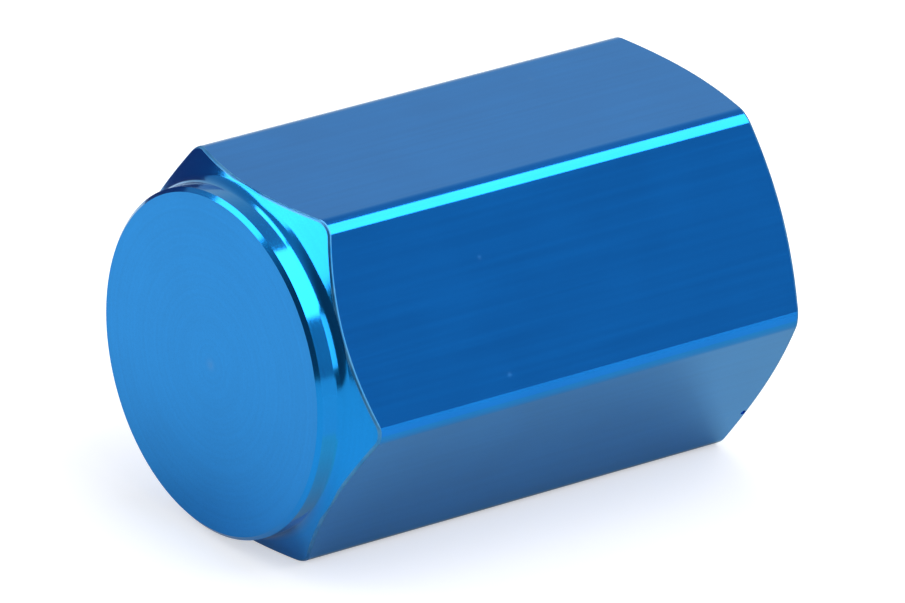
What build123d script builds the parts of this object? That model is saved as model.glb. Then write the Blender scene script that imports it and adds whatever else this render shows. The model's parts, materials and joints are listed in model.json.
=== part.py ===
from build123d import *
from math import cos, radians, tan
import os

# Tyre valve cap, turned from hexagonal bar, lying on one flat with its axis along X.
# The closed crown points to -X and the threaded mouth to +X. Sizes are in millimetres.

# Blind hole, from the mouth inwards
lead_in = 0.7
thread_minor_diameter = 7.0
thread_length = 10.0
relief_depth = 0.6
relief_length = 0.3
drill_point_diameter = 4.0
drill_point_angle = 118.0

# Rubber ring in the thread relief, which seals on the end of the valve stem
seal_section = 1.8
seal_clearance = 0.05

# Metal left around the hole
seat_wall = 0.9
end_wall = 3.0

# Hexagon and its turned ends
corner_radius = 0.65
crown_step = 0.21
crown_height = 0.77
crown_rim_chamfer = 0.11
crown_root_radius = 0.42
front_cone_angle = 32.0
mouth_step = 0.4
mouth_cone_angle = 23.0

# Sizes that follow from those above
thread_radius = thread_minor_diameter / 2
seat_radius = thread_radius + relief_depth
seat_length = seal_section + 2 * seal_clearance + relief_length
seal_mean_radius = seat_radius - seal_clearance - seal_section / 2
seal_centre = end_wall + seal_clearance + seal_section / 2
across_flats = 2 * (seat_radius + seat_wall)
sharp_corner_radius = across_flats / 2 / cos(radians(30))
cap_length = end_wall + seat_length + thread_length + lead_in
axis_height = across_flats / 2
crown_radius = across_flats / 2 - crown_step
mouth_radius = across_flats / 2 - mouth_step
drill_point_radius = drill_point_diameter / 2
drill_point_depth = drill_point_radius / tan(radians(drill_point_angle / 2))

# Profiles are drawn as (distance from the crown's face, radius) and turned about the bar's axis
crown_centre = (-cap_length / 2, 0, axis_height)
turning_plane = Plane(origin=crown_centre, x_dir=(1, 0, 0), z_dir=(0, -1, 0))
turning_axis = Axis(crown_centre, (1, 0, 0))
bar_plane = Plane(origin=crown_centre, x_dir=(0, 1, 0), z_dir=(1, 0, 0))


with BuildPart() as cap_body:
    # Bar of hexagon section with rounded long corners
    with BuildSketch(bar_plane) as bar_section:
        RegularPolygon(radius=across_flats / 2, side_count=6, major_radius=False)
        fillet(bar_section.vertices(), radius=corner_radius)
    extrude(amount=cap_length)

    # Turned outside: round crown, cone that trims the corners, and the same at the mouth
    front_cone_end = crown_height + (sharp_corner_radius - crown_radius) * tan(radians(front_cone_angle))
    mouth_cone_end = cap_length - (sharp_corner_radius - mouth_radius) * tan(radians(mouth_cone_angle))
    with BuildSketch(turning_plane) as turned_outside:
        with BuildLine():
            crown_face = Line((0, 0), (0, crown_radius))
            crown_side = Line(crown_face @ 1, (crown_height, crown_radius))
            front_cone = Line(crown_side @ 1, (front_cone_end, sharp_corner_radius))
            beside_bar = Line(front_cone @ 1, (mouth_cone_end, sharp_corner_radius))
            mouth_cone = Line(beside_bar @ 1, (cap_length, mouth_radius))
            Polyline(mouth_cone @ 1, (cap_length, 0), (0, 0))
        make_face()
        chamfer(turned_outside.vertices().sort_by_distance(crown_side @ 0)[0], length=crown_rim_chamfer)
        fillet(turned_outside.vertices().sort_by_distance(crown_side @ 1)[0], radius=crown_root_radius)
    revolve(axis=turning_axis, mode=Mode.INTERSECT)

    # Blind hole: drill point, floor and seat of the rubber ring, thread bore, lead-in at the mouth
    thread_start = end_wall + seat_length
    thread_end = thread_start + thread_length
    with BuildSketch(turning_plane):
        with BuildLine():
            Polyline(
                (end_wall - drill_point_depth, 0),
                (end_wall, drill_point_radius),
                (end_wall, seat_radius),
                (thread_start, seat_radius),
                (thread_start, thread_radius),
                (thread_end, thread_radius),
                (cap_length, thread_radius + lead_in),
                (cap_length, 0),
                close=True,
            )
        make_face()
    revolve(axis=turning_axis, mode=Mode.SUBTRACT)

cap_body.part.label = "cap_body"


with BuildPart() as sealing_ring:
    # Ring of round section, on the floor of the hole
    with BuildSketch(turning_plane):
        with Locations((seal_centre, seal_mean_radius)):
            Circle(seal_section / 2)
    revolve(axis=turning_axis)

sealing_ring.part.label = "sealing_ring"


os.makedirs("parts", exist_ok=True)
export_step(cap_body.part, "parts/cap_body.step")
export_step(sealing_ring.part, "parts/sealing_ring.step")
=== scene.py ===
import json
import math
from collections import Counter

import bpy
from mathutils import Matrix, Vector


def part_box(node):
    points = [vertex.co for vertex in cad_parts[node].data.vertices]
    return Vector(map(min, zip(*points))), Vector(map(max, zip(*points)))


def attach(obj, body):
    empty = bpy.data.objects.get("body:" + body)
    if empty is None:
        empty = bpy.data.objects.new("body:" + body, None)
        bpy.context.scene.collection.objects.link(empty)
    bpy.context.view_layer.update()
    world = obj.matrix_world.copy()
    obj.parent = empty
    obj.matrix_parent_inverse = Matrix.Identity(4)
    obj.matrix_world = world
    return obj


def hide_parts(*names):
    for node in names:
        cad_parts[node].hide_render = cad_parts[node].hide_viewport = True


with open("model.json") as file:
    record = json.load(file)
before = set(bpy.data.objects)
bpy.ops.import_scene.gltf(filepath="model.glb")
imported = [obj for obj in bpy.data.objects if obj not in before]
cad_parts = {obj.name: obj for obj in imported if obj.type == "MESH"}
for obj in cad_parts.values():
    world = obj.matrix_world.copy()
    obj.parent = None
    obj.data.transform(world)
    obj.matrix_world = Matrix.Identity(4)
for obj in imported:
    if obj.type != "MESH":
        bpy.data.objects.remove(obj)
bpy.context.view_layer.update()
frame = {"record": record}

# The cap is modelled in millimetres and brought to metres when it is finished.
MM = 0.001

# Half of the angle between two neighbouring flats, seen from the axis
half_side = math.radians(30)

# Sizes that the frame gives
cap_low, cap_high = (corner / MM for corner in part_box("cap_body"))
ring_low, ring_high = (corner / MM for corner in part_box("sealing_ring"))
mounts = {mount["name"]: mount for mount in frame["record"]["mounts"]}
crown_x = cap_low.x
mouth_x = cap_high.x
axis_height = (cap_low.z + cap_high.z) / 2
flat_distance = (cap_high.z - cap_low.z) / 2
sharp_corner = flat_distance / math.cos(half_side)
thread_radius = mounts["valve_thread"]["dims"]["r_mm"]
thread_length = mounts["valve_thread"]["dims"]["length_mm"]

# Outside, as it is turned and milled
corner_radius = 0.65
crown_step = 0.21
crown_height = 0.77
crown_rim_chamfer = 0.11
crown_root_radius = 0.42
front_cone_angle = math.radians(32)
mouth_step = 0.4
mouth_cone_angle = math.radians(23)
edge_break = 0.06

# Dent in the lower front flat, close to its mouth edge
dent_half_length = 0.15
dent_half_width = 0.08
dent_depth = 0.035
dent_below_middle = 1.35
dent_from_edge = 0.14

# Blind hole
lead_in = 0.7
relief_depth = 0.6
end_wall = 3.0
drill_point_radius = 2.0
drill_point_half_angle = math.radians(59)

# Thread of a tyre valve: 32 turns to the inch, sixty degree flanks
pitch = 25.4 / 32
thread_depth = 0.4
root_flat = pitch / 8
flank_length = thread_depth * math.tan(math.radians(30))

# How far the tap reaches past the thread's inner end and past the mouth, and the turns cut off there
tap_past_thread = 0.2
tap_past_mouth = 0.5
spare_turns = 2

# Flash line that the mould leaves round the rubber ring
flash_width = 0.06
flash_height = 0.02

# How far the bar and the cutting solids reach past the faces that they cut
spare_length = 1.0
cut_overlap = 0.1

# Fineness of the meshes
turning_steps = 360
thread_steps = 96
corner_segments = 11
rim_segments = 9
break_segments = 4
merge_distance = 0.0005
thread_merge_distance = 0.001
bar_merge_distance = 0.002
worn_edge_angle = math.radians(50)
smooth_angle = math.radians(21)

# Cards seen only in the metal's mirror, as painted reflections: kerbs that stand round the cap, and a mat
# just above the floor
kerb_distance = 50.0
mat_height = 0.02


def select_only(piece):
    """Make the piece the only one that the next operator acts on."""
    bpy.ops.object.select_all(action="DESELECT")
    piece.select_set(True)
    bpy.context.view_layer.objects.active = piece


def deselect_mesh(piece):
    """Leave no point, edge or face of the piece selected."""
    for item in (*piece.data.vertices, *piece.data.edges, *piece.data.polygons):
        item.select = False


def drawn_line(name, points):
    """A line through points (distance along the axis, radius), drawn by extruding one vertex."""
    bpy.ops.object.select_all(action="DESELECT")
    bpy.ops.mesh.primitive_plane_add(size=1)
    line = bpy.context.object
    line.name = name
    bpy.ops.object.mode_set(mode="EDIT")
    bpy.ops.mesh.merge(type="CENTER")
    here = Vector((0, 0, 0))
    for number, (along, radius) in enumerate(points):
        there = Vector((along, 0, axis_height + radius))
        if number == 0:
            bpy.ops.transform.translate(value=there - here)
        else:
            bpy.ops.mesh.extrude_vertices_move(TRANSFORM_OT_translate={"value": there - here})
        here = there
    bpy.ops.object.mode_set(mode="OBJECT")
    return line


def round_point(line, along, radius, fillet_radius, turn):
    """Round the line's corner at one point."""
    place = Vector((along, 0, axis_height + radius))
    nearest = min(line.data.vertices, key=lambda vertex: (vertex.co - place).length)
    for vertex in line.data.vertices:
        vertex.select = vertex.index == nearest.index
    for edge in line.data.edges:
        edge.select = False
    bpy.ops.object.mode_set(mode="EDIT")
    bpy.ops.mesh.bevel(
        offset=fillet_radius * math.tan(turn / 2),
        segments=rim_segments,
        affect="VERTICES",
        clamp_overlap=False,
    )
    bpy.ops.object.mode_set(mode="OBJECT")


def spin_line(line):
    """Turn the line about the cap's axis into a closed solid."""
    select_only(line)
    bpy.ops.object.mode_set(mode="EDIT")
    bpy.ops.mesh.select_all(action="SELECT")
    bpy.ops.mesh.spin(
        steps=turning_steps, angle=2 * math.pi, center=(0, 0, axis_height), axis=(1, 0, 0)
    )
    bpy.ops.mesh.select_all(action="SELECT")
    bpy.ops.mesh.remove_doubles(threshold=merge_distance)
    bpy.ops.mesh.fill_holes(sides=0)
    bpy.ops.mesh.select_all(action="SELECT")
    bpy.ops.mesh.normals_make_consistent(inside=False)
    bpy.ops.object.mode_set(mode="OBJECT")


def combine(piece, tool, operation, finish):
    """Cut the piece by a tool solid, which leaves its own finish on the cut faces and is taken away."""
    tool.data.materials.append(finish)
    select_only(piece)
    boolean = piece.modifiers.new("cut", "BOOLEAN")
    boolean.operation = operation
    boolean.solver = "EXACT"
    boolean.material_mode = "TRANSFER"
    boolean.object = tool
    bpy.ops.object.modifier_apply(modifier=boolean.name)
    bpy.data.objects.remove(tool)


def hexagon_bar():
    """Bar of hexagon section with rounded long corners, longer than the cap at both ends."""
    bpy.ops.object.select_all(action="DESELECT")
    bpy.ops.mesh.primitive_cylinder_add(
        vertices=6,
        radius=sharp_corner,
        depth=mouth_x - crown_x + 2 * spare_length,
        location=(0, 0, axis_height),
        rotation=(0, math.pi / 2, 0),
    )
    bar = bpy.context.object
    bar.name = "turned_cap"
    bpy.ops.object.transform_apply(location=True, rotation=True, scale=True)
    deselect_mesh(bar)
    for edge in bar.data.edges:
        start, end = (bar.data.vertices[index].co for index in edge.vertices)
        edge.select = abs(start.x - end.x) > spare_length
    bpy.ops.object.mode_set(mode="EDIT")
    bpy.ops.mesh.select_mode(type="EDGE")
    bpy.ops.mesh.bevel(
        offset=corner_radius * math.tan(half_side),
        segments=corner_segments,
        affect="EDGES",
    )
    bpy.ops.mesh.select_mode(type="VERT")
    bpy.ops.object.mode_set(mode="OBJECT")
    return bar


def turned_outside():
    """Solid that the lathe leaves: round crown, cone that trims the hexagon, and the cone at the mouth."""
    crown_radius = flat_distance - crown_step
    mouth_radius = flat_distance - mouth_step
    outside = sharp_corner + spare_length
    root_x = crown_x + crown_height
    cone_end = root_x + (outside - crown_radius) * math.tan(front_cone_angle)
    mouth_cone_start = mouth_x - (outside - mouth_radius) * math.tan(mouth_cone_angle)
    line = drawn_line("turned_outside", [
        (crown_x, crown_radius / 2),
        (crown_x, crown_radius - crown_rim_chamfer),
        (crown_x + crown_rim_chamfer, crown_radius),
        (root_x, crown_radius),
        (cone_end, outside),
        (mouth_cone_start, outside),
        (mouth_x, mouth_radius),
        (mouth_x, mouth_radius / 2),
    ])
    round_point(line, root_x, crown_radius, crown_root_radius, math.radians(90) - front_cone_angle)
    spin_line(line)
    return line


def bored_hole():
    """Solid that the drill, the relief tool and the lead-in take out."""
    floor_x = crown_x + end_wall
    thread_end = mouth_x - lead_in
    thread_start = thread_end - thread_length
    seat_radius = thread_radius + relief_depth
    core_radius = thread_radius - cut_overlap
    line = drawn_line("bored_hole", [
        (floor_x - drill_point_radius / math.tan(drill_point_half_angle), 0),
        (floor_x, drill_point_radius),
        (floor_x, seat_radius),
        (thread_start, seat_radius),
        (thread_start, core_radius),
        (thread_end - cut_overlap, core_radius),
        (mouth_x + cut_overlap, thread_radius + lead_in + cut_overlap),
        (mouth_x + cut_overlap, thread_radius / 2),
    ])
    spin_line(line)
    return line


def tapped_thread():
    """Solid that the tap takes out: one turn's tooth form, screwed along the hole and cut off square."""
    start_x = mouth_x - lead_in - thread_length - tap_past_thread
    end_x = mouth_x + tap_past_mouth
    major_radius = thread_radius + thread_depth
    first_x = start_x - spare_turns * pitch
    line = drawn_line("tapped_thread", [
        (first_x, major_radius),
        (first_x + root_flat, major_radius),
        (first_x + root_flat + flank_length, thread_radius),
        (first_x + pitch - flank_length, thread_radius),
        (first_x + pitch, major_radius),
    ])
    # The screw turns about the object's own X axis, so the line is lowered on to it and raised again.
    select_only(line)
    line.data.transform(Matrix.Translation((0, 0, -axis_height)))
    screw = line.modifiers.new("screw", "SCREW")
    screw.axis = "X"
    screw.angle = 2 * math.pi
    screw.screw_offset = pitch
    screw.iterations = math.ceil((end_x - start_x) / pitch) + 2 * spare_turns
    screw.steps = thread_steps
    screw.render_steps = thread_steps
    screw.use_merge_vertices = True
    screw.merge_threshold = thread_merge_distance
    bpy.ops.object.modifier_apply(modifier=screw.name)
    line.data.transform(Matrix.Translation((0, 0, axis_height)))
    bpy.ops.object.mode_set(mode="EDIT")
    bpy.ops.mesh.select_all(action="SELECT")
    bpy.ops.mesh.remove_doubles(threshold=thread_merge_distance)
    bpy.ops.mesh.select_all(action="SELECT")
    bpy.ops.mesh.bisect(
        plane_co=(start_x, 0, axis_height), plane_no=(1, 0, 0), use_fill=True, clear_inner=True
    )
    bpy.ops.mesh.select_all(action="SELECT")
    bpy.ops.mesh.bisect(
        plane_co=(end_x, 0, axis_height), plane_no=(1, 0, 0), use_fill=True, clear_outer=True
    )
    bpy.ops.mesh.select_all(action="SELECT")
    bpy.ops.mesh.normals_make_consistent(inside=False)
    bpy.ops.object.mode_set(mode="OBJECT")
    return line


def break_edges(piece, finish):
    """Take the sharpness off the hexagon's turned ends, where the finish is worn."""
    piece.data.materials.append(finish)
    select_only(piece)
    bpy.ops.object.mode_set(mode="EDIT")
    bpy.ops.mesh.select_mode(type="EDGE")
    bpy.ops.mesh.select_all(action="SELECT")
    bpy.ops.mesh.remove_doubles(threshold=bar_merge_distance)
    bpy.ops.mesh.select_all(action="DESELECT")
    bpy.ops.mesh.edges_select_sharp(sharpness=worn_edge_angle)
    bpy.ops.mesh.bevel(
        offset=edge_break,
        segments=break_segments,
        affect="EDGES",
        clamp_overlap=False,
        material=len(piece.data.materials) - 1,
    )
    bpy.ops.mesh.select_mode(type="VERT")
    bpy.ops.object.mode_set(mode="OBJECT")


def dent():
    """Solid of the small dent: a flattened ball with two thirds of its half-height sunk in the flat."""
    ball_half_height = 1.5 * dent_depth
    outwards = Vector((0, -math.cos(half_side), -math.sin(half_side)))
    downwards = Vector((0, math.sin(half_side), -math.cos(half_side)))
    edge_radius = math.hypot(flat_distance, dent_below_middle)
    edge_x = mouth_x - (edge_radius - flat_distance + mouth_step) * math.tan(mouth_cone_angle)
    middle = Vector((edge_x - dent_from_edge, 0, axis_height))
    middle += outwards * (flat_distance + ball_half_height - dent_depth) + downwards * dent_below_middle
    bpy.ops.object.select_all(action="DESELECT")
    bpy.ops.mesh.primitive_uv_sphere_add(
        segments=32,
        ring_count=16,
        radius=1,
        location=middle,
        rotation=(2 * half_side, 0, 0),
        scale=(dent_half_width, ball_half_height, dent_half_length),
    )
    ball = bpy.context.object
    bpy.ops.object.transform_apply(location=True, rotation=True, scale=True)
    return ball


def turned_cap():
    """The cap as it is made: turned from the bar, its edges worn, then dented, bored and tapped."""
    turned = turned_aluminium()
    cap = hexagon_bar()
    cap.data.materials.append(drawn_aluminium())
    combine(cap, turned_outside(), "INTERSECT", turned)
    break_edges(cap, worn_aluminium())
    combine(cap, dent(), "DIFFERENCE", turned)
    combine(cap, bored_hole(), "DIFFERENCE", turned)
    combine(cap, tapped_thread(), "DIFFERENCE", turned)
    return cap


def moulded_ring():
    """Rubber ring of round section, with the mould's fine flash line round it inside and outside."""
    middle_x = (ring_low.x + ring_high.x) / 2
    section = ring_high.x - ring_low.x
    outer_radius = (ring_high.z - ring_low.z) / 2
    mean_radius = outer_radius - section / 2
    bpy.ops.object.select_all(action="DESELECT")
    bpy.ops.mesh.primitive_torus_add(
        location=(middle_x, 0, axis_height),
        rotation=(0, math.pi / 2, 0),
        major_radius=mean_radius,
        minor_radius=section / 2,
        major_segments=144,
        minor_segments=40,
    )
    ring = bpy.context.object
    ring.name = "moulded_ring"
    bpy.ops.object.transform_apply(location=True, rotation=True, scale=True)

    # Flash line: the two middle loops are split in three, and the new middle ones pulled out
    for split in (True, False):
        deselect_mesh(ring)
        for edge in ring.data.edges:
            ends = [ring.data.vertices[index].co for index in edge.vertices]
            edge.select = all(abs(end.x - middle_x) < merge_distance for end in ends)
        bpy.ops.object.mode_set(mode="EDIT")
        bpy.ops.mesh.select_mode(type="EDGE")
        if split:
            bpy.ops.mesh.bevel(offset=flash_width / 2, segments=2, affect="EDGES")
        else:
            bpy.ops.transform.shrink_fatten(value=flash_height)
        bpy.ops.mesh.select_mode(type="VERT")
        bpy.ops.object.mode_set(mode="OBJECT")
    return ring


def drop_spare_points(piece):
    """Take away the points where only two edges meet, which the cuts leave along straight edges."""
    meeting = Counter(index for edge in piece.data.edges for index in edge.vertices)
    deselect_mesh(piece)
    for vertex in piece.data.vertices:
        vertex.select = meeting[vertex.index] == 2
    bpy.ops.object.mode_set(mode="EDIT")
    bpy.ops.mesh.dissolve_verts()
    bpy.ops.object.mode_set(mode="OBJECT")


def finish_piece(piece, body, node):
    """Clean the mesh, shade it with flat faces kept flat, bring it to metres and place it in the frame."""
    select_only(piece)
    bpy.ops.object.mode_set(mode="EDIT")
    bpy.ops.mesh.select_all(action="SELECT")
    bpy.ops.mesh.remove_doubles(threshold=merge_distance)
    bpy.ops.mesh.select_all(action="SELECT")
    bpy.ops.mesh.dissolve_degenerate(threshold=merge_distance)
    bpy.ops.object.mode_set(mode="OBJECT")
    drop_spare_points(piece)
    bpy.ops.object.shade_smooth_by_angle(angle=smooth_angle)
    weighted = piece.modifiers.new("flat_faces", "WEIGHTED_NORMAL")
    weighted.keep_sharp = True
    bpy.ops.object.modifier_apply(modifier=weighted.name)
    piece.scale = (MM, MM, MM)
    bpy.ops.object.transform_apply(location=True, rotation=True, scale=True)
    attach(piece, body)
    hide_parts(node)


def linear(hex_colour):
    """Linear colour from an sRGB hex value."""
    channels = (int(hex_colour[place:place + 2], 16) / 255 for place in (1, 3, 5))
    return (*(c / 12.92 if c <= 0.04045 else ((c + 0.055) / 1.055) ** 2.4 for c in channels), 1)


def add_node(tree, kind, settings, inputs):
    """Add one node. Settings are its properties, and an input is a value to set or a socket to link."""
    made = tree.nodes.new(kind)
    for name, value in settings.items():
        setattr(made, name, value)
    for name, value in inputs.items():
        if isinstance(value, bpy.types.NodeSocket):
            tree.links.new(value, made.inputs[name])
        else:
            made.inputs[name].default_value = value
    return made


def new_material(name):
    """Empty material and its node tree."""
    material = bpy.data.materials.new(name)
    material.use_nodes = True
    material.node_tree.nodes.clear()
    return material, material.node_tree


def place_in_mm(tree):
    """Object coordinates in millimetres, measured from the middle of the cap's axis."""
    place = add_node(tree, "ShaderNodeTexCoord", {}, {})
    scaled = add_node(tree, "ShaderNodeMapping", {}, {
        "Vector": place.outputs["Object"],
        "Location": (0, 0, -axis_height),
        "Scale": (1 / MM, 1 / MM, 1 / MM),
    })
    return scaled.outputs["Vector"]


def drawn_aluminium():
    """Bright drawn bar under a blue dyed oxide: a tinted mirror under a thin colourless gloss.
    The die leaves faint lines along the bar, and a few pale specks show where the oxide is thin."""
    line_width = 0.15
    line_length = 7.0
    cloud_size = 2.5
    speck_spacing = 2.0
    speck_radius = 0.12
    material, tree = new_material("drawn_blue_anodised_aluminium")
    place = place_in_mm(tree)
    stretched = add_node(tree, "ShaderNodeMapping", {}, {
        "Vector": place, "Scale": (line_width / line_length, 1, 1),
    })
    lines = add_node(tree, "ShaderNodeTexNoise", {}, {
        "Vector": stretched.outputs["Vector"], "Scale": 1 / line_width, "Detail": 3.0,
    })
    clouds = add_node(tree, "ShaderNodeTexNoise", {}, {
        "Vector": place, "Scale": 1 / cloud_size, "Detail": 2.0,
    })
    mottle = add_node(tree, "ShaderNodeMath", {"operation": "ADD"}, {
        0: lines.outputs["Fac"], 1: clouds.outputs["Fac"],
    })
    depth = add_node(tree, "ShaderNodeMapRange", {}, {
        "Value": mottle.outputs["Value"], "From Min": 0.7, "From Max": 1.3,
    })
    dye = add_node(tree, "ShaderNodeMix", {"data_type": "RGBA"}, {
        0: depth.outputs["Result"], 6: linear("#0B82DC"), 7: linear("#0E89E6"),
    })
    cells = add_node(tree, "ShaderNodeTexVoronoi", {}, {"Vector": place, "Scale": 1 / speck_spacing})
    specks = add_node(tree, "ShaderNodeMapRange", {"interpolation_type": "SMOOTHSTEP"}, {
        "Value": cells.outputs["Distance"],
        "From Max": speck_radius / speck_spacing,
        "To Min": 0.12,
        "To Max": 0.0,
    })
    colour = add_node(tree, "ShaderNodeMix", {"data_type": "RGBA"}, {
        0: specks.outputs["Result"], 6: dye.outputs[2], 7: linear("#8FB4CE"),
    })
    sheen = add_node(tree, "ShaderNodeMapRange", {}, {
        "Value": lines.outputs["Fac"], "From Min": 0.35, "From Max": 0.65, "To Min": 0.105, "To Max": 0.14,
    })
    roughness = add_node(tree, "ShaderNodeMath", {"operation": "ADD"}, {
        0: sheen.outputs["Result"], 1: specks.outputs["Result"],
    })
    relief = add_node(tree, "ShaderNodeBump", {}, {
        "Height": lines.outputs["Fac"], "Strength": 0.12, "Distance": 0.003 * MM,
    })
    shader = add_node(tree, "ShaderNodeBsdfPrincipled", {}, {
        "Base Color": colour.outputs[2],
        "Metallic": 1.0,
        "Roughness": roughness.outputs["Value"],
        "Normal": relief.outputs["Normal"],
        "Specular Tint": linear("#E7FFFF"),
        "Coat Weight": 1.0,
        "Coat IOR": 1.2,
        "Coat Roughness": 0.12,
    })
    add_node(tree, "ShaderNodeOutputMaterial", {}, {"Surface": shader.outputs["BSDF"]})
    return material


def turned_aluminium():
    """Lathe-turned metal under the same dyed oxide: satin, with fine rings about the axis and a faint
    grain. The facing tool leaves a small pale mark in the middle of the crown. The real rings are about
    half as wide, which is too fine to show."""
    ring_width = 0.1
    grain_size = 0.06
    cloud_size = 2.5
    facing_mark_radius = 0.25
    material, tree = new_material("turned_blue_anodised_aluminium")
    place = place_in_mm(tree)
    parts = add_node(tree, "ShaderNodeSeparateXYZ", {}, {"Vector": place})
    outwards = add_node(tree, "ShaderNodeCombineXYZ", {}, {
        "Y": parts.outputs["Y"], "Z": parts.outputs["Z"],
    })
    radius = add_node(tree, "ShaderNodeVectorMath", {"operation": "LENGTH"}, {
        0: outwards.outputs["Vector"],
    })
    clouds = add_node(tree, "ShaderNodeTexNoise", {}, {
        "Vector": place, "Scale": 1 / cloud_size, "Detail": 2.0,
    })
    drift = add_node(tree, "ShaderNodeMath", {"operation": "MULTIPLY"}, {
        0: clouds.outputs["Fac"], 1: 2 * ring_width,
    })
    profile = add_node(tree, "ShaderNodeCombineXYZ", {}, {
        "X": parts.outputs["X"], "Y": radius.outputs["Value"], "Z": drift.outputs["Value"],
    })
    rings = add_node(tree, "ShaderNodeTexNoise", {}, {
        "Vector": profile.outputs["Vector"], "Scale": 1 / ring_width, "Detail": 2.0,
    })
    grain = add_node(tree, "ShaderNodeTexNoise", {}, {
        "Vector": place, "Scale": 1 / grain_size, "Detail": 1.0,
    })
    marks = add_node(tree, "ShaderNodeMath", {"operation": "ADD"}, {
        0: rings.outputs["Fac"], 1: grain.outputs["Fac"],
    })
    mottle = add_node(tree, "ShaderNodeMath", {"operation": "ADD"}, {
        0: marks.outputs["Value"], 1: clouds.outputs["Fac"],
    })
    depth = add_node(tree, "ShaderNodeMapRange", {}, {
        "Value": mottle.outputs["Value"], "From Min": 1.1, "From Max": 1.9,
    })
    dye = add_node(tree, "ShaderNodeMix", {"data_type": "RGBA"}, {
        0: depth.outputs["Result"], 6: linear("#0F8DDC"), 7: linear("#1294E6"),
    })
    on_crown = add_node(tree, "ShaderNodeMath", {"operation": "LESS_THAN"}, {
        0: parts.outputs["X"], 1: crown_x + crown_height,
    })
    near_middle = add_node(tree, "ShaderNodeMapRange", {"interpolation_type": "SMOOTHSTEP"}, {
        "Value": radius.outputs["Value"], "From Max": facing_mark_radius, "To Min": 0.1, "To Max": 0.0,
    })
    facing_mark = add_node(tree, "ShaderNodeMath", {"operation": "MULTIPLY"}, {
        0: on_crown.outputs["Value"], 1: near_middle.outputs["Result"],
    })
    colour = add_node(tree, "ShaderNodeMix", {"data_type": "RGBA"}, {
        0: facing_mark.outputs["Value"], 6: dye.outputs[2], 7: linear("#9FB2BE"),
    })
    roughness = add_node(tree, "ShaderNodeMapRange", {}, {
        "Value": marks.outputs["Value"], "From Min": 0.7, "From Max": 1.3, "To Min": 0.11, "To Max": 0.16,
    })
    relief = add_node(tree, "ShaderNodeBump", {}, {
        "Height": marks.outputs["Value"], "Strength": 0.12, "Distance": 0.002 * MM,
    })
    shader = add_node(tree, "ShaderNodeBsdfPrincipled", {}, {
        "Base Color": colour.outputs[2],
        "Metallic": 1.0,
        "Roughness": roughness.outputs["Result"],
        "Normal": relief.outputs["Normal"],
        "Specular Tint": linear("#E7FFFF"),
        "Coat Weight": 1.0,
        "Coat IOR": 1.2,
        "Coat Roughness": 0.12,
    })
    add_node(tree, "ShaderNodeOutputMaterial", {}, {"Surface": shader.outputs["BSDF"]})
    return material


def worn_aluminium():
    """Edges where handling has thinned the dyed oxide: paler and greyer than the flats, and duller."""
    patch_size = 0.6
    material, tree = new_material("worn_blue_anodised_aluminium")
    place = place_in_mm(tree)
    patches = add_node(tree, "ShaderNodeTexNoise", {}, {
        "Vector": place, "Scale": 1 / patch_size, "Detail": 3.0,
    })
    wear = add_node(tree, "ShaderNodeMapRange", {}, {
        "Value": patches.outputs["Fac"], "From Min": 0.35, "From Max": 0.65,
    })
    colour = add_node(tree, "ShaderNodeMix", {"data_type": "RGBA"}, {
        0: wear.outputs["Result"], 6: linear("#2E84C4"), 7: linear("#5598C6"),
    })
    roughness = add_node(tree, "ShaderNodeMapRange", {}, {
        "Value": patches.outputs["Fac"], "From Min": 0.35, "From Max": 0.65, "To Min": 0.3, "To Max": 0.45,
    })
    relief = add_node(tree, "ShaderNodeBump", {}, {
        "Height": patches.outputs["Fac"], "Strength": 0.2, "Distance": 0.01 * MM,
    })
    shader = add_node(tree, "ShaderNodeBsdfPrincipled", {}, {
        "Base Color": colour.outputs[2],
        "Metallic": 1.0,
        "Roughness": roughness.outputs["Result"],
        "Normal": relief.outputs["Normal"],
    })
    add_node(tree, "ShaderNodeOutputMaterial", {}, {"Surface": shader.outputs["BSDF"]})
    return material


def moulded_rubber():
    """Black nitrile rubber as it leaves a spark-eroded mould: matt, fine-grained, with a greyish bloom."""
    grain_size = 0.08
    bloom_size = 1.2
    material, tree = new_material("moulded_nitrile_rubber")
    place = place_in_mm(tree)
    grain = add_node(tree, "ShaderNodeTexNoise", {}, {
        "Vector": place, "Scale": 1 / grain_size, "Detail": 2.0,
    })
    bloom = add_node(tree, "ShaderNodeTexNoise", {}, {
        "Vector": place, "Scale": 1 / bloom_size, "Detail": 4.0,
    })
    haze = add_node(tree, "ShaderNodeMapRange", {}, {
        "Value": bloom.outputs["Fac"], "From Min": 0.4, "From Max": 0.75,
    })
    colour = add_node(tree, "ShaderNodeMix", {"data_type": "RGBA"}, {
        0: haze.outputs["Result"], 6: linear("#141415"), 7: linear("#2B2B2C"),
    })
    roughness = add_node(tree, "ShaderNodeMapRange", {}, {
        "Value": bloom.outputs["Fac"], "From Min": 0.4, "From Max": 0.75, "To Min": 0.5, "To Max": 0.75,
    })
    relief = add_node(tree, "ShaderNodeBump", {}, {
        "Height": grain.outputs["Fac"], "Strength": 0.5, "Distance": 0.01 * MM,
    })
    shader = add_node(tree, "ShaderNodeBsdfPrincipled", {}, {
        "Base Color": colour.outputs[2],
        "Roughness": roughness.outputs["Result"],
        "Normal": relief.outputs["Normal"],
    })
    add_node(tree, "ShaderNodeOutputMaterial", {}, {"Surface": shader.outputs["BSDF"]})
    return material


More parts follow.
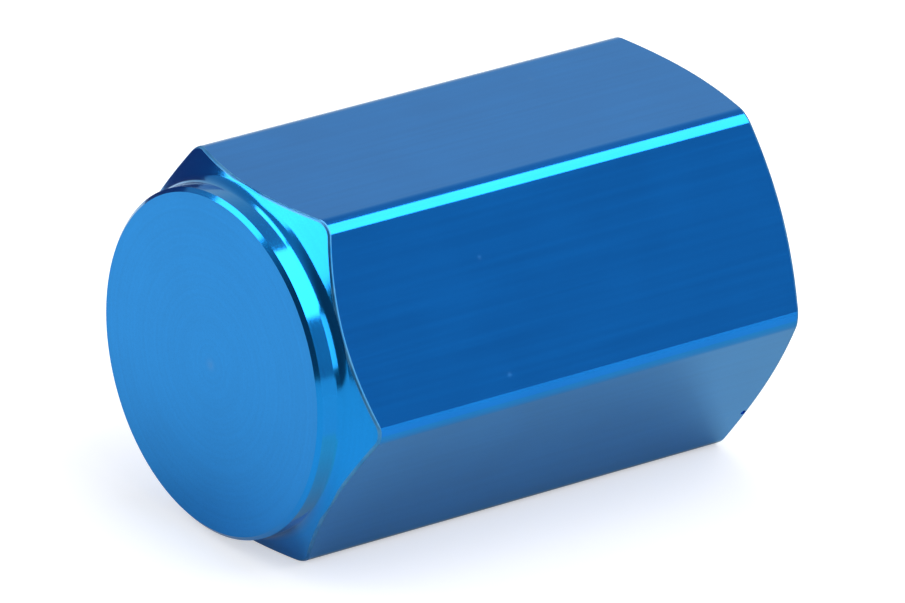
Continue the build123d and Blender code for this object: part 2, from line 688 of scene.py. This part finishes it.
def white_floor():
    """Matt white paper. Its colour is lifted to white where it is seen, and it keeps the shadow."""
    seen_lift = 0.52
    mirrored_lift = 0.04
    material, tree = new_material("matt_white_paper")
    seen = add_node(tree, "ShaderNodeLightPath", {}, {})
    mirrored = add_node(tree, "ShaderNodeMath", {"operation": "MAXIMUM"}, {
        0: seen.outputs["Is Glossy Ray"], 1: seen.outputs["Is Transmission Ray"],
    })
    in_mirror = add_node(tree, "ShaderNodeMath", {"operation": "MULTIPLY"}, {
        0: mirrored.outputs["Value"], 1: mirrored_lift,
    })
    lift = add_node(tree, "ShaderNodeMath", {"operation": "MULTIPLY_ADD"}, {
        0: seen.outputs["Is Camera Ray"], 1: seen_lift, 2: in_mirror.outputs["Value"],
    })
    shader = add_node(tree, "ShaderNodeBsdfPrincipled", {}, {
        "Base Color": linear("#CCCCCC"),
        "Roughness": 1.0,
        "Specular IOR Level": 0.0,
        "Emission Color": linear("#FFFFFF"),
        "Emission Strength": lift.outputs["Value"],
    })
    add_node(tree, "ShaderNodeOutputMaterial", {}, {"Surface": shader.outputs["BSDF"]})
    return material


def direction(azimuth, elevation):
    """Unit vector, with azimuth from +X towards +Y and elevation above the floor, in degrees."""
    turn = math.radians(azimuth)
    rise = math.radians(elevation)
    return Vector((math.cos(turn) * math.cos(rise), math.sin(turn) * math.cos(rise), math.sin(rise)))


def round_axis(from_axis, turn):
    """Unit vector by its angle from the cap's axis, and its turn about it from the front (-Y) to above."""
    away = math.radians(from_axis)
    rise = math.radians(turn)
    return Vector((math.cos(away), -math.sin(away) * math.cos(rise), math.sin(away) * math.sin(rise)))


def softbox(name, place, back, along, width, height, radiance):
    """Rectangular studio light at a place in metres, with its back and its width along two directions."""
    sideways = (along - along.dot(back) * back).normalized()
    upright = back.cross(sideways)
    bpy.ops.object.light_add(type="AREA")
    lamp = bpy.context.object
    lamp.name = name
    lamp.matrix_world = Matrix.Translation(place) @ Matrix((sideways, upright, back)).transposed().to_4x4()
    lamp.data.shape = "RECTANGLE"
    lamp.data.size = width
    lamp.data.size_y = height
    lamp.data.energy = math.pi * width * height * radiance


def arch_softbox(name, from_axis, turn, across, round_turn, radiance):
    """One panel of the arch over the cap, a metre away, with its two widths as angles seen from the cap."""
    towards = round_axis(from_axis, turn)
    width = 2 * math.tan(math.radians(across / 2))
    height = 2 * math.tan(math.radians(round_turn / 2))
    softbox(name, towards, towards, Vector((1, 0, 0)), width, height, radiance)


def window(name, azimuth, across, sill_angle, head_angle, radiance):
    """Upright light a metre away, with its width, sill and head as angles seen from the cap."""
    sill = math.tan(math.radians(sill_angle))
    head = math.tan(math.radians(head_angle))
    width = 2 * math.tan(math.radians(across / 2))
    back = direction(azimuth, 0)
    place = back + Vector((0, 0, (sill + head) / 2))
    softbox(name, place, back, direction(azimuth - 90, 0), width, head - sill, radiance)


def show_as_painted_reflection(card, colour):
    """Give a card its colour, and hide it from all but the metal's mirror, so that the card is only a
    painted reflection in the metal.
    """
    material, tree = new_material("painted_reflection_card")
    shader = add_node(tree, "ShaderNodeBsdfPrincipled", {}, {
        "Base Color": linear(colour), "Roughness": 0.9,
    })
    add_node(tree, "ShaderNodeOutputMaterial", {}, {"Surface": shader.outputs["BSDF"]})
    card.data.materials.append(material)
    card.visible_camera = False
    card.visible_diffuse = False
    card.visible_shadow = False


def painted_reflection_kerb(name, from_azimuth, to_azimuth, height, colour):
    """Low card that stands round a part of the cap, with its height in millimetres. It is seen only in the
    metal, as a painted reflection: dark cards paint dark reflections, a pale one a pale reflection.
    """
    bpy.ops.object.select_all(action="DESELECT")
    bpy.ops.mesh.primitive_plane_add(size=1)
    kerb = bpy.context.object
    kerb.name = name
    bpy.ops.object.mode_set(mode="EDIT")
    bpy.ops.mesh.merge(type="CENTER")
    bpy.ops.transform.translate(value=direction(from_azimuth, 0) * kerb_distance * MM)
    bpy.ops.mesh.extrude_vertices_move(TRANSFORM_OT_translate={"value": (0, 0, height * MM)})
    bpy.ops.mesh.select_all(action="SELECT")
    turn = math.radians(to_azimuth - from_azimuth)
    bpy.ops.mesh.spin(steps=24, angle=-turn, center=(0, 0, 0), axis=(0, 0, 1))
    bpy.ops.object.mode_set(mode="OBJECT")
    show_as_painted_reflection(kerb, colour)


def painted_reflection_mat(name, low, high, colour):
    """Card that lies on the floor between two corners, in millimetres. It is a painted reflection: the
    metal mirrors it in place of the shaded floor under the lower front flat.
    """
    bpy.ops.object.select_all(action="DESELECT")
    bpy.ops.mesh.primitive_plane_add(size=1)
    mat = bpy.context.object
    mat.name = name
    mat.location = Vector(((low[0] + high[0]) / 2, (low[1] + high[1]) / 2, mat_height)) * MM
    mat.scale = Vector((high[0] - low[0], high[1] - low[1], 1)) * MM
    show_as_painted_reflection(mat, colour)


def studio():
    """White floor, cards that are painted reflections seen only in the metal, an arch of softboxes, two
    windows and a soft room.
    """
    floor_width = 0.5
    backdrop_azimuth = 48.7
    backdrop_lift = 0.13
    bpy.ops.object.select_all(action="DESELECT")
    bpy.ops.mesh.primitive_plane_add(size=floor_width)
    floor = bpy.context.object
    floor.name = "floor"
    floor.data.materials.append(white_floor())
    # Painted reflections: the dark kerbs behind and at the left paint dark reflections on the cones and
    # corners, and the pale front kerb paints a pale one
    painted_reflection_kerb("back_painted_reflection_kerb", from_azimuth=85, to_azimuth=127, height=21.5, colour="#42456E")
    painted_reflection_kerb("left_painted_reflection_kerb", from_azimuth=127, to_azimuth=200, height=10.5, colour="#343A4C")
    painted_reflection_kerb("front_painted_reflection_kerb", from_azimuth=-85, to_azimuth=-25, height=9.4, colour="#E4E4E4")
    # Cream mat: a painted reflection of the shaded floor under the lower front flat, warmer than the floor
    # itself
    painted_reflection_mat("front_painted_floor_reflection", low=(-6.4, -12), high=(20, -2.75), colour="#D1D1BF")
    arch_softbox("arch_softbox_front", from_axis=83, turn=27, across=41, round_turn=32, radiance=1.7)
    arch_softbox("arch_softbox_top", from_axis=68.5, turn=68, across=40, round_turn=41.6, radiance=3.5)
    arch_softbox("arch_softbox_back", from_axis=75.5, turn=107, across=25.5, round_turn=30, radiance=3.2)
    window("left_window", azimuth=148, across=64, sill_angle=4, head_angle=29, radiance=2.8)
    window("left_window_upper", azimuth=138, across=42, sill_angle=29, head_angle=58, radiance=2.8)

    # Soft cool grey room: white and paler behind the cap, dark on the camera's side
    world = bpy.data.worlds.new("studio")
    bpy.context.scene.world = world
    world.use_nodes = True
    tree = world.node_tree
    tree.nodes.clear()
    place = add_node(tree, "ShaderNodeTexCoord", {}, {})
    behind = add_node(tree, "ShaderNodeVectorMath", {"operation": "DOT_PRODUCT"}, {
        0: place.outputs["Generated"], 1: direction(backdrop_azimuth, 0),
    })
    dim = add_node(tree, "ShaderNodeMapRange", {"interpolation_type": "SMOOTHSTEP"}, {
        "Value": behind.outputs["Value"],
        "From Min": -0.7,
        "From Max": -0.2,
        "To Min": 0.118,
        "To Max": 0.47,
    })
    pale = add_node(tree, "ShaderNodeMapRange", {"interpolation_type": "SMOOTHSTEP"}, {
        "Value": behind.outputs["Value"], "From Min": 0.6, "From Max": 0.95,
    })
    level = add_node(tree, "ShaderNodeMath", {"operation": "MULTIPLY_ADD"}, {
        0: pale.outputs["Result"], 1: backdrop_lift, 2: dim.outputs["Result"],
    })
    colour = add_node(tree, "ShaderNodeMix", {"data_type": "RGBA"}, {
        0: pale.outputs["Result"], 6: linear("#E3EDFF"), 7: linear("#FFFFFF"),
    })
    shader = add_node(tree, "ShaderNodeBackground", {}, {
        "Color": colour.outputs[2], "Strength": level.outputs["Value"],
    })
    add_node(tree, "ShaderNodeOutputWorld", {}, {"Surface": shader.outputs["Background"]})


def photo_camera():
    """Long lens from the front left, as the photograph has it. Places are in millimetres."""
    azimuth = math.radians(-39.26)
    elevation = math.radians(25.61)
    roll = math.radians(4.12)
    distance = 324.55
    lens_in_frame_widths = 12134 / 905
    aim = Vector((-0.95, 0, axis_height))
    shift_right = 0.85
    shift_up = 0.154
    back = Vector((
        math.sin(azimuth) * math.cos(elevation),
        -math.cos(azimuth) * math.cos(elevation),
        math.sin(elevation),
    ))
    level_right = Vector((math.cos(azimuth), math.sin(azimuth), 0))
    level_up = back.cross(level_right)
    right = math.cos(roll) * level_right + math.sin(roll) * level_up
    up = -math.sin(roll) * level_right + math.cos(roll) * level_up
    eye = (aim + distance * back + shift_right * right + shift_up * up) * MM
    bpy.ops.object.camera_add()
    camera = bpy.context.object
    camera.matrix_world = Matrix.Translation(eye) @ Matrix((right, up, back)).transposed().to_4x4()
    camera.data.sensor_width = 36
    camera.data.lens = lens_in_frame_widths * camera.data.sensor_width
    bpy.context.scene.camera = camera


cap = turned_cap()
finish_piece(cap, "root", "cap_body")

ring = moulded_ring()
ring.data.materials.append(moulded_rubber())
finish_piece(ring, "root", "sealing_ring")

studio()
photo_camera()
bpy.context.scene.view_settings.view_transform = "Standard"
